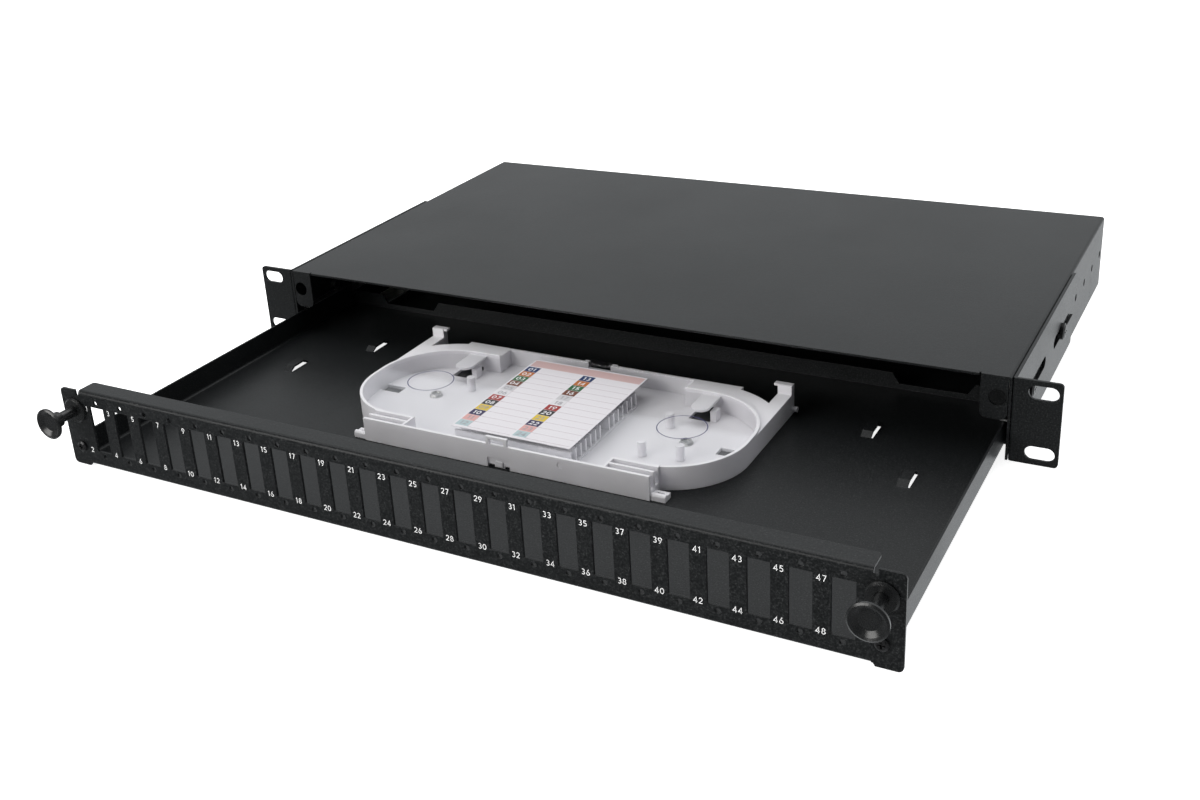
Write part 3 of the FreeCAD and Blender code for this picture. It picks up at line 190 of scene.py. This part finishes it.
def clear_lid():
    """Clear moulded sheet: lets light through and mirrors a little more at shallow angles."""
    m = Nodes("clear_lid_plastic")
    flow = m.noise(18.0, 2.0, 0.5, (0.5, 1.0, 1.0))
    fine = m.noise(600.0, 2.0)
    c = m.ramp(flow, [(0.3, (0.84, 0.84, 0.88)), (0.7, (0.93, 0.93, 0.96))])
    m.link(c, m.shader.inputs["Base Color"])
    m.link(m.range(fine, 0.05, 0.10, 0.3, 0.7), m.shader.inputs["Roughness"])
    m.link(m.bump(flow, 0.06, 0.0003), m.shader.inputs["Normal"])
    facing = m.new("ShaderNodeLayerWeight")
    facing.inputs["Blend"].default_value = 0.5
    power = m.new("ShaderNodeMath", operation="POWER")
    power.inputs[1].default_value = 5.0
    m.link(facing.outputs["Facing"], power.inputs[0])
    haze = m.new("ShaderNodeMath", operation="ADD")
    m.link(m.range(power.outputs[0], 0.030, 0.90), haze.inputs[0])
    m.link(m.range(flow, 0.010, 0.022, 0.3, 0.7), haze.inputs[1])
    m.link(haze.outputs[0], m.shader.inputs["Alpha"])
    m.set(Metallic=1.0)
    return m.mat


def printed(name, base, rough=0.45):
    """Ink or paper with a faint fibre variation; also used for the lid's dark ring lines, which are painted
    refraction shade.
    """
    m = Nodes(name)
    fibre = m.noise(1700.0, 3.0, 0.6)
    c = m.ramp(fibre, [(0.3, tuple(v * 0.94 for v in base)), (0.7, tuple(min(v * 1.04, 1.0) for v in base))])
    m.link(c, m.shader.inputs["Base Color"])
    m.link(m.range(fibre, rough - 0.06, rough + 0.08, 0.3, 0.7), m.shader.inputs["Roughness"])
    return m.mat


MATS = {
    "black_powder": powder_coat(),
    "black_screw": screw_black(),
    "black_rivet": screw_black("painted_rivet", (0.008, 0.008, 0.0085), 0.42),
    "zinc": zinc(),
    "white_nylon": nylon("natural_nylon", (0.70, 0.70, 0.66), 0.42),
    "black_nylon": nylon("black_nylon", (0.0075, 0.008, 0.0085), 0.27, 0.5, 0.08),
    "black_rubber": nylon("black_rubber", (0.010, 0.010, 0.010), 0.62, 0.4, 0.3),
    "white_abs": white_abs(),
    "clear_lid": clear_lid(),
    "card": printed("card_paper", (0.76, 0.735, 0.765), 0.38),
}
for sub in frame["record"]["subparts"]:
    ob = nodes[sub["node"]]
    mat = MATS[sub["material_slot"]]
    if not ob.data.materials:
        ob.data.materials.append(mat)
    for k in range(len(ob.data.materials)):
        ob.data.materials[k] = mat


# -------------------------------------------------------------- small meshes
def piece(name, bm, mat, body):
    mesh = bpy.data.meshes.new(name)
    bm.to_mesh(mesh)
    bm.free()
    ob = bpy.data.objects.new(name, mesh)
    scene.collection.objects.link(ob)
    ob.data.materials.append(mat)
    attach(ob, body)
    return ob


def quad_prism(bm, x0, x1, y0, y1, z0, z1):
    """Closed thin block, used for ink and ruled lines."""
    v = [bm.verts.new((x, y, z)) for z in (z0, z1) for y in (y0, y1) for x in (x0, x1)]
    for f in ((0, 2, 3, 1), (4, 5, 7, 6), (0, 1, 5, 4), (2, 6, 7, 3), (0, 4, 6, 2), (1, 3, 7, 5)):
        bm.faces.new([v[i] for i in f])


def arc(cx, cy, rx, ry, a0, a1, n):
    return [(cx + rx * math.cos(math.radians(a0 + (a1 - a0) * k / n)),
             cy + ry * math.sin(math.radians(a0 + (a1 - a0) * k / n))) for k in range(n + 1)]


# Plain geometric numerals, cap height 1: (advance, [(points, closed), ...])
DIGITS = {
    "0": (0.66, [(arc(0.33, 0.5, 0.27, 0.43, 0, 360, 22)[:-1], True)]),
    "1": (0.42, [([(0.06, 0.78), (0.24, 0.93), (0.24, 0.0)], False)]),
    "2": (0.62, [(arc(0.31, 0.68, 0.23, 0.25, 165, -38, 9) + [(0.07, 0.07), (0.58, 0.07)], False)]),
    "3": (0.62, [(arc(0.29, 0.71, 0.21, 0.22, 140, -80, 9) + arc(0.29, 0.28, 0.24, 0.215, 80, -140, 10), False)]),
    "4": (0.66, [([(0.46, 0.0), (0.46, 0.93), (0.05, 0.27), (0.62, 0.27)], False)]),
    "5": (0.62, [([(0.54, 0.93), (0.17, 0.93), (0.12, 0.55)] + arc(0.29, 0.32, 0.25, 0.255, 112, -140, 10), False)]),
    "6": (0.64, [(arc(0.32, 0.32, 0.25, 0.25, 0, 360, 18)[:-1], True), ([(0.10, 0.43), (0.42, 1.0)], False)]),
    "7": (0.60, [([(0.04, 0.93), (0.53, 0.93), (0.20, 0.0)], False)]),
    "8": (0.62, [(arc(0.31, 0.725, 0.19, 0.205, 0, 360, 16)[:-1], True), (arc(0.31, 0.285, 0.235, 0.225, 0, 360, 18)[:-1], True)]),
    "9": (0.64, [(arc(0.32, 0.68, 0.25, 0.25, 0, 360, 18)[:-1], True), ([(0.54, 0.57), (0.22, 0.0)], False)]),
}


def stroke(bm, pts, closed, half, z0, z1, place):
    """Ribbon of constant width along pts, as a thin closed solid."""
    n = len(pts)
    rows = []
    for i in range(n):
        p = Vector(pts[i])
        a = Vector(pts[(i - 1) % n]) if (closed or i > 0) else None
        b = Vector(pts[(i + 1) % n]) if (closed or i < n - 1) else None
        t1 = (p - a).normalized() if a is not None else None
        t2 = (b - p).normalized() if b is not None else None
        if t1 is None:
            t1 = t2
        if t2 is None:
            t2 = t1
        n1, n2 = Vector((-t1.y, t1.x)), Vector((-t2.y, t2.x))
        m = (n1 + n2)
        m = m.normalized() if m.length > 1e-6 else n1
        k = half / max(m.dot(n1), 0.45)
        rows.append([bm.verts.new(place @ Vector((p.x + sd * m.x * k, p.y + sd * m.y * k, z)))
                     for sd, z in ((1, z0), (-1, z0), (-1, z1), (1, z1))])
    for i in range(n if closed else n - 1):
        r0, r1 = rows[i], rows[(i + 1) % n]
        for q in range(4):
            w = (q + 1) % 4
            bm.faces.new((r0[q], r0[w], r1[w], r1[q]))
    if not closed:
        bm.faces.new(rows[0])
        bm.faces.new(list(reversed(rows[-1])))


def numeral(bm, text, cap, z0, z1, matrix, weight=0.075):
    """Number centred on the origin of matrix, drawn in its XY plane."""
    total = sum(DIGITS[c][0] for c in text) + 0.16 * (len(text) - 1)
    x = -total / 2
    for c in text:
        adv, strokes = DIGITS[c]
        for pts, closed in strokes:
            stroke(bm, [((x + u) * cap, (v - 0.5) * cap) for u, v in pts], closed, weight * cap, z0, z1, matrix)
        x += adv + 0.16


mm = 0.001

# ------------------------------------------------- numerals on the front panel
lo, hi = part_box("front_panel")
front = lo.y
pitch, n_win = 17.1 * mm, 24
bm = bmesh.new()
UPRIGHT = Matrix(((1, 0, 0, 0), (0, 0, -1, 0), (0, 1, 0, 0), (0, 0, 0, 1)))  # drawn face towards -Y
for k in range(n_win):
    xw = (k - (n_win - 1) / 2) * pitch
    for n, z in ((2 * k + 1, 12.3), (2 * k + 2, -11.5)):
        dx = -6.9 if n == 1 else -8.8
        at = Vector((xw + dx * mm, front, z * mm))
        numeral(bm, str(n), 2.9 * mm, -0.01 * mm, 0.03 * mm, Matrix.Translation(at) @ UPRIGHT, 0.058)
bmesh.ops.recalc_face_normals(bm, faces=bm.faces)
piece("panel_numerals", bm, printed("white_screen_ink", (0.80, 0.80, 0.80), 0.5), "drawer")

# ----------------------------------------------------- print on the index card
clo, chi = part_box("index_card")
top = chi.z
cw, cl = chi.x - clo.x, chi.y - clo.y
CELLS = [("blue", (0.012, 0.045, 0.17)), ("orange", (0.66, 0.20, 0.035)), ("green", (0.020, 0.16, 0.045)), ("brown", (0.22, 0.065, 0.03)),
         ("grey", (0.56, 0.55, 0.57)), ("white", (0.70, 0.69, 0.71)), ("red", (0.48, 0.035, 0.030)), ("black", (0.018, 0.016, 0.016)),
         ("yellow", (0.66, 0.48, 0.05)), ("violet", (0.035, 0.022, 0.11)), ("pink", (0.66, 0.36, 0.34)), ("aqua", (0.42, 0.53, 0.55))]
head0, head1, margin = 8.8 * mm, 1.2 * mm, 2.0 * mm
row = (cl - head0 - 0.8 * mm - margin) / 12
bm = bmesh.new()
quad_prism(bm, clo.x + 0.8 * mm, chi.x - 0.8 * mm, chi.y - head0, chi.y - head1, top, top + 0.02 * mm)
piece("card_heading", bm, printed("heading_ink", (0.62, 0.44, 0.43), 0.4), "lid")
DEEP = ("blue", "orange", "green", "brown", "red", "black", "violet")
inks = {}
lines = bmesh.new()
numbers_dark, numbers_light = bmesh.new(), bmesh.new()
first = chi.y - head0 - 0.8 * mm
for col in range(2):
    x0 = clo.x + (0.8 + col * 34.2) * mm
    for r in range(12):
        y1 = first - r * row
        y0 = y1 - row
        nm, rgb = CELLS[r]
        inks.setdefault(nm, (bmesh.new(), rgb))
        quad_prism(inks[nm][0], x0, x0 + 7.6 * mm, y0 + 0.12 * mm, y1 - 0.12 * mm, top, top + 0.02 * mm)
        quad_prism(lines, x0 + 7.9 * mm, x0 + 33.0 * mm, y0 - 0.09 * mm, y0 + 0.09 * mm, top, top + 0.015 * mm)
        light = nm in ("white", "aqua", "pink", "grey", "yellow")
        numeral(numbers_dark if light else numbers_light, "%02d" % (col * 12 + r + 1), 3.5 * mm, 0.0, 0.02 * mm,
                Matrix.Translation((x0 + 3.8 * mm, (y0 + y1) / 2, top + 0.025 * mm)), 0.085)
for xv in (8.6, 42.6):
    quad_prism(lines, clo.x + (xv - 0.08) * mm, clo.x + (xv + 0.08) * mm, first - 12 * row, first, top, top + 0.015 * mm)
for b in (numbers_dark, numbers_light, lines):
    bmesh.ops.recalc_face_normals(b, faces=b.faces)
for nm, (b, rgb) in inks.items():
    piece("card_cells_" + nm, b, printed("ink_" + nm, tuple(v * (0.66 if nm in DEEP else 1.0) for v in rgb), 0.5), "lid")
piece("card_lines", lines, printed("ink_lines", (0.36, 0.27, 0.30), 0.45), "lid")
piece("card_numbers_dark", numbers_dark, printed("ink_soft_numbers", (0.34, 0.33, 0.36), 0.45), "lid")
piece("card_numbers_light", numbers_light, printed("ink_light_numbers", (0.80, 0.80, 0.82), 0.45), "lid")

# ------------------------------------------------------- rings on lid: painted refraction shade, dark blue lines at the moulded ring edges
lid_lo, lid_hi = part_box("splice_tray_lid")
for side, sg in (("left", -1), ("right", 1)):
    cx = (lid_lo.x + lid_hi.x) / 2 + sg * 75.4 * mm
    bm = bmesh.new()
    ring_z = -5.86 * mm
    ri, ro, n = 12.42 * mm, 12.92 * mm, 72
    prev = None
    rows = []
    for k in range(n):
        a = 2 * math.pi * k / n
        rows.append([bm.verts.new((cx + r * math.cos(a), -55.4 * mm + r * math.sin(a), z))
                     for r, z in ((ri, ring_z), (ro, ring_z), (ro, ring_z + 0.02 * mm), (ri, ring_z + 0.02 * mm))])
    for k in range(n):
        a, b = rows[k], rows[(k + 1) % n]
        for i in range(4):
            j = (i + 1) % 4
            bm.faces.new((a[i], b[i], b[j], a[j]))
    bmesh.ops.recalc_face_normals(bm, faces=bm.faces)
    # the dark blue ring is painted shade standing in for refraction at the lid's moulded ring edge, not a printed
    # line
    piece("lid_ring_" + side, bm, printed("ring_refraction_shade_" + side, (0.030, 0.030, 0.13), 0.4), "lid")

# ------------------------------------------------------------- floor and light
floor_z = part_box("housing_cover")[0].z - 0.0002
bm = bmesh.new()
S = 9.0
vs = [bm.verts.new((x, y, floor_z)) for x, y in ((-S, -S), (S, -S), (S, S), (-S, S))]
bm.faces.new(vs)
mesh = bpy.data.meshes.new("floor")
bm.to_mesh(mesh)
bm.free()
floor = bpy.data.objects.new("floor", mesh)
scene.collection.objects.link(floor)
fm = Nodes("pale_floor")
fn = fm.noise(3.0, 2.0)
fm.link(fm.ramp(fn, [(0.3, (0.90, 0.90, 0.90)), (0.7, (0.93, 0.93, 0.93))]), fm.shader.inputs["Base Color"])
fm.shader.inputs["Roughness"].default_value = 0.9
fm.shader.inputs["Specular IOR Level"].default_value = 0.1
fm.shader.inputs["Emission Color"].default_value = (1.0, 1.0, 1.0, 1.0)
fm.shader.inputs["Emission Strength"].default_value = 0.85
floor.data.materials.append(fm.mat)
floor.visible_glossy = False

world = bpy.data.worlds.new("studio")
scene.world = world
world.use_nodes = True
bg = world.node_tree.nodes["Background"]
bg.inputs["Color"].default_value = (0.95, 0.98, 1.0, 1.0)
# brighter studio wall behind the object, dim room in front of it
wt = world.node_tree
w_dir = wt.nodes.new("ShaderNodeTexCoord")
w_xyz = wt.nodes.new("ShaderNodeSeparateXYZ")
w_map = wt.nodes.new("ShaderNodeMapRange")
w_map.interpolation_type = "SMOOTHSTEP"
w_map.inputs["From Min"].default_value = -0.45
w_map.inputs["From Max"].default_value = 0.75
w_map.inputs["To Min"].default_value = 0.13
w_map.inputs["To Max"].default_value = 0.80
wt.links.new(w_dir.outputs["Generated"], w_xyz.inputs["Vector"])
wt.links.new(w_xyz.outputs["Y"], w_map.inputs["Value"])
# the white table behind the object shows brighter, below the horizon
w_low = wt.nodes.new("ShaderNodeMapRange")
w_low.interpolation_type = "SMOOTHSTEP"
w_low.inputs["From Min"].default_value = 0.05
w_low.inputs["From Max"].default_value = -0.25
w_low.inputs["To Min"].default_value = 1.0
w_low.inputs["To Max"].default_value = 1.5
wt.links.new(w_xyz.outputs["Z"], w_low.inputs["Value"])
w_mul = wt.nodes.new("ShaderNodeMath")
w_mul.operation = "MULTIPLY"
wt.links.new(w_map.outputs["Result"], w_mul.inputs[0])
wt.links.new(w_low.outputs["Result"], w_mul.inputs[1])
wt.links.new(w_mul.outputs["Value"], bg.inputs["Strength"])


def soft_light(name, at, aim, size, watts, colour=(1, 1, 1)):
    ld = bpy.data.lights.new(name, "AREA")
    ld.shape = "RECTANGLE"
    ld.size, ld.size_y = size
    ld.energy = watts
    ld.color = colour
    lo_ = bpy.data.objects.new(name, ld)
    scene.collection.objects.link(lo_)
    lo_.location = at
    lo_.rotation_euler = (Vector(aim) - Vector(at)).to_track_quat("-Z", "Y").to_euler()
    return lo_


soft_light("overhead_softbox", (-0.3, 0.3, 1.7), (0.0, 0.0, 0.0), (2.2, 1.6), 21.0)
soft_light("front_softbox", (-1.0, -1.9, 0.85), (0.0, -0.1, 0.0), (1.7, 1.1), 34.0, (1.0, 0.99, 0.97))

# -------------------------------------------------------------------- camera
cam_data = bpy.data.cameras.new("camera")
cam = bpy.data.objects.new("camera", cam_data)
scene.collection.objects.link(cam)
right = Vector((0.87025036, 0.48847767, -0.06367011))
down = Vector((0.1354634, -0.36157153, -0.92245092))
fwd = Vector((-0.47361798, 0.79413827, -0.3808286))
eye = Vector((0.33341127, -0.61341437, 0.30485285))
cam.matrix_world = Matrix(((right.x, -down.x, -fwd.x, eye.x), (right.y, -down.y, -fwd.y, eye.y),
                           (right.z, -down.z, -fwd.z, eye.z), (0, 0, 0, 1)))
cam_data.sensor_fit = "HORIZONTAL"
cam_data.sensor_width = 36.0
cam_data.lens = 1378.4435 / 1200.0 * 36.0
cam_data.shift_x = (600.0 - 551.8695) / 1200.0
cam_data.shift_y = (327.5689 - 400.0) / 1200.0
cam_data.clip_start = 0.02
cam_data.clip_end = 40.0
scene.camera = cam
scene.view_settings.view_transform = "Standard"
scene.view_settings.look = "None"
scene.view_settings.exposure = 0.0
